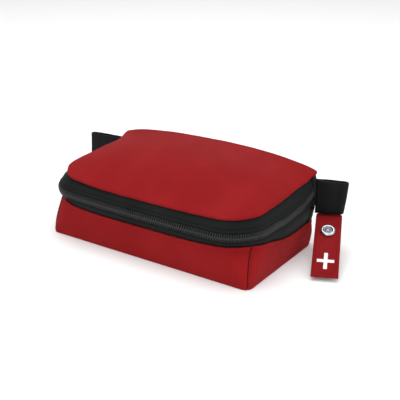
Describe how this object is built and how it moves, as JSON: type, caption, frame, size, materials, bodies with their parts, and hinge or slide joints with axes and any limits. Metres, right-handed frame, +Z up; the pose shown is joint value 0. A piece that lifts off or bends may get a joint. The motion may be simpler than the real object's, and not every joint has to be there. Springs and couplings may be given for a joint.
{
  "type": "first aid kit",
  "caption": "Red fabric zip pouch with a domed lid, black end loops, a press-stud strap with a white plus sign, and packed dressings and scissors inside.",
  "frame": {"origin": "centre of the pouch's base, on the surface it stands on", "axes": "+X along the pouch's length to the right loop, +Y to the back wall where the lid folds, +Z up"},
  "size_m": [0.1925, 0.0784, 0.0498],
  "materials": {
    "red_fabric": "matte woven",
    "zip_tape": "matte woven",
    "zip_coil": "satin",
    "slider_metal": "satin black",
    "webbing": "smooth woven",
    "strap_fabric": "matte woven",
    "white_print": "matte",
    "stud_metal": "polished",
    "blade_steel": "brushed",
    "handle_plastic": "gloss",
    "grey_packet": "matte",
    "white_packet": "matte",
    "green_packet": "matte",
    "bandage_packet": "matte"
  },
  "bodies": {
    "pouch": {"bottom_panel": "red_fabric", "front_panel": "red_fabric", "left_panel": "red_fabric", "right_panel": "red_fabric", "back_panel_lower": "red_fabric", "lower_zip_tape": "zip_tape", "lower_zip_coil": "zip_coil", "zip_stops_lower": "slider_metal", "right_end_loop": "webbing", "left_end_loop": "webbing", "strap_anchor": "strap_fabric", "grey_dressing_packet": "grey_packet", "large_dressing_packet": "white_packet", "green_band_packet": "green_packet", "bandage_packet_front": "bandage_packet", "bandage_packet_back": "bandage_packet", "wipe_packet_front": "white_packet", "wipe_packet_back": "white_packet", "fixed_blade": "blade_steel", "fixed_handle": "handle_plastic", "scissors_rivet": "blade_steel"},
    "lid": {"lid_panel": "red_fabric", "upper_zip_tape": "zip_tape", "upper_zip_coil": "zip_coil", "zip_stops_upper": "slider_metal", "back_panel_upper": "red_fabric"},
    "slider": {"slider_body": "slider_metal", "slider_crown": "slider_metal"},
    "pull": {"pull_tab": "slider_metal"},
    "strap": {"strap_rear_leaf": "strap_fabric", "stud_post": "stud_metal", "stud_ring": "stud_metal"},
    "strap_flap": {"strap_front_leaf": "strap_fabric", "strap_cross": "white_print", "stud_cap": "stud_metal", "stud_socket": "stud_metal"},
    "scissors_half": {"moving_blade": "blade_steel", "moving_handle": "handle_plastic"}
  },
  "joints": [
    {"name": "lid_hinge", "type": "hinge", "parent": "pouch", "child": "lid", "pos_m": [0, 0.0348, 0.0255], "axis": [-1, 0, 0], "range_deg": [0, 150]},
    {"name": "slider_travel", "type": "slide", "parent": "pouch", "child": "slider", "axis": [0, -1, 0], "range_m": [0, 0.031]},
    {"name": "pull_swing", "type": "hinge", "parent": "slider", "child": "pull", "pos_m": [-0.06935, 0.022, 0.0255], "axis": [0, 0, -1], "range_deg": [0, 110]},
    {"name": "strap_swing", "type": "hinge", "parent": "pouch", "child": "strap", "pos_m": [0.0754, 0.0331, 0.0183], "axis": [-0.9171, -0.3987, 0], "range_deg": [0, 45]},
    {"name": "stud_opening", "type": "hinge", "parent": "strap", "child": "strap_flap", "pos_m": [0.07709, 0.02922, 0.0181], "axis": [-0.9171, -0.3987, 0], "range_deg": [0, 75]},
    {"name": "scissors_pivot", "type": "hinge", "parent": "pouch", "child": "scissors_half", "pos_m": [0.001, -0.007, 0.0266], "axis": [0, 0, -1], "range_deg": [0, 20]}
  ]
}
